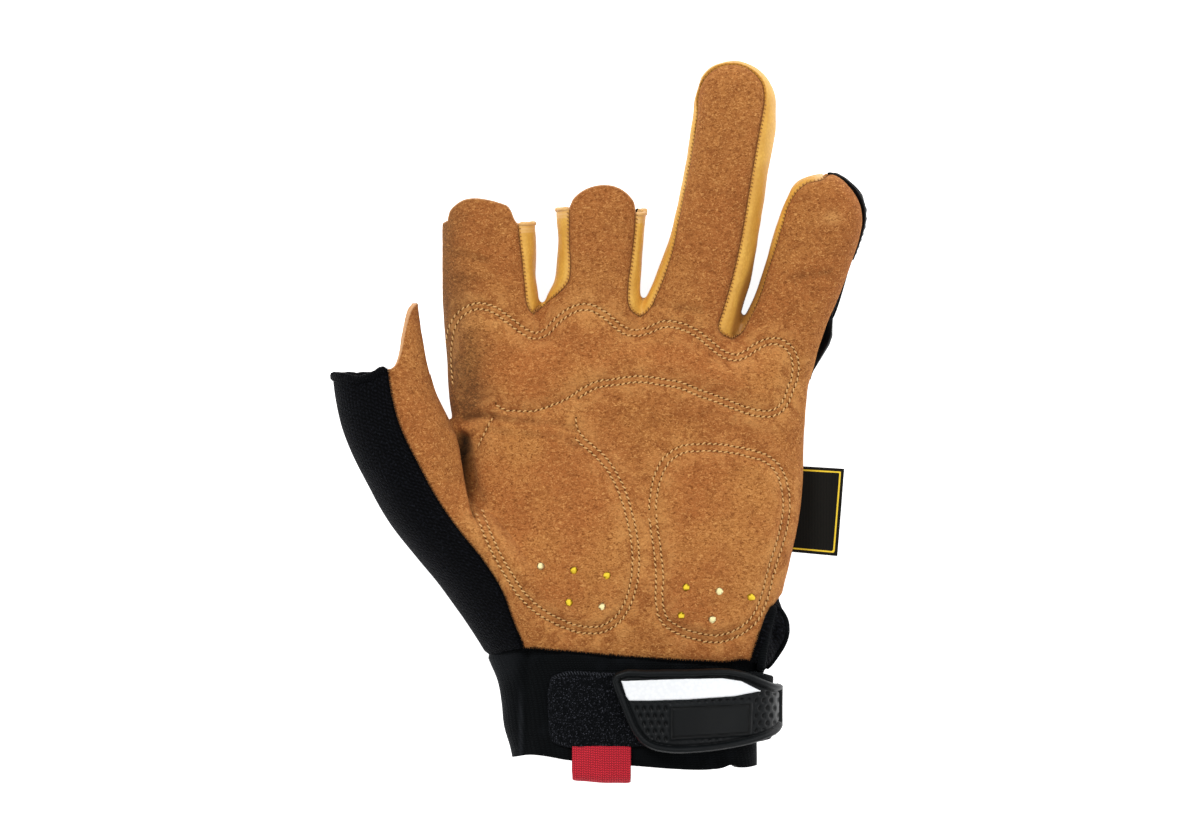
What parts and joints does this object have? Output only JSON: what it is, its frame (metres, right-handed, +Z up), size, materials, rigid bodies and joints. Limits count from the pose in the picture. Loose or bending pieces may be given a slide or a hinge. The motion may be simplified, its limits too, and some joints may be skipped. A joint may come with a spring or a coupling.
{
  "type": "leather framer glove",
  "caption": "Left-hand leather work glove with open thumb, index and middle fingertips, padded palm, knit thumb side and strapped cuff.",
  "frame": {"origin": "middle of the footprint, on the surface the glove lies on", "axes": "+Y along the fingers, +X away from the thumb, +Z up out of the palm"},
  "size_m": [0.1767, 0.2388, 0.0436],
  "materials": {
    "suede": "napped suede, brown",
    "goatskin": "smooth grain, yellow tan",
    "black_knit": "textured knit, black",
    "neoprene": "fine jersey over neoprene, black",
    "loop_pile": "fuzzy loop pile, black",
    "moulded_rubber": "satin moulded rubber, black",
    "white_film": "bare reflective film, white",
    "red_webbing": "ribbed webbing, red",
    "woven_label": "woven, black with a plain yellow border",
    "yellow_foam": "soft foam, pale yellow"
  },
  "bodies": {
    "root": {"palm_leather": "suede", "thumb_leather": "suede", "thumb_knit": "black_knit", "fourchette_index_middle": "goatskin", "fourchette_middle_ring": "goatskin", "fourchette_ring_little": "goatskin", "back_panel": "black_knit", "knuckle_guard": "moulded_rubber", "finger_guard": "moulded_rubber", "thenar_foam": "yellow_foam", "hypothenar_foam": "yellow_foam", "cuff": "neoprene", "loop_patch": "loop_pile", "strap": "neoprene", "closure_tab": "moulded_rubber", "tab_insert": "white_film", "pull_loop": "red_webbing", "side_label": "woven_label"}
  },
  "joints": []
}
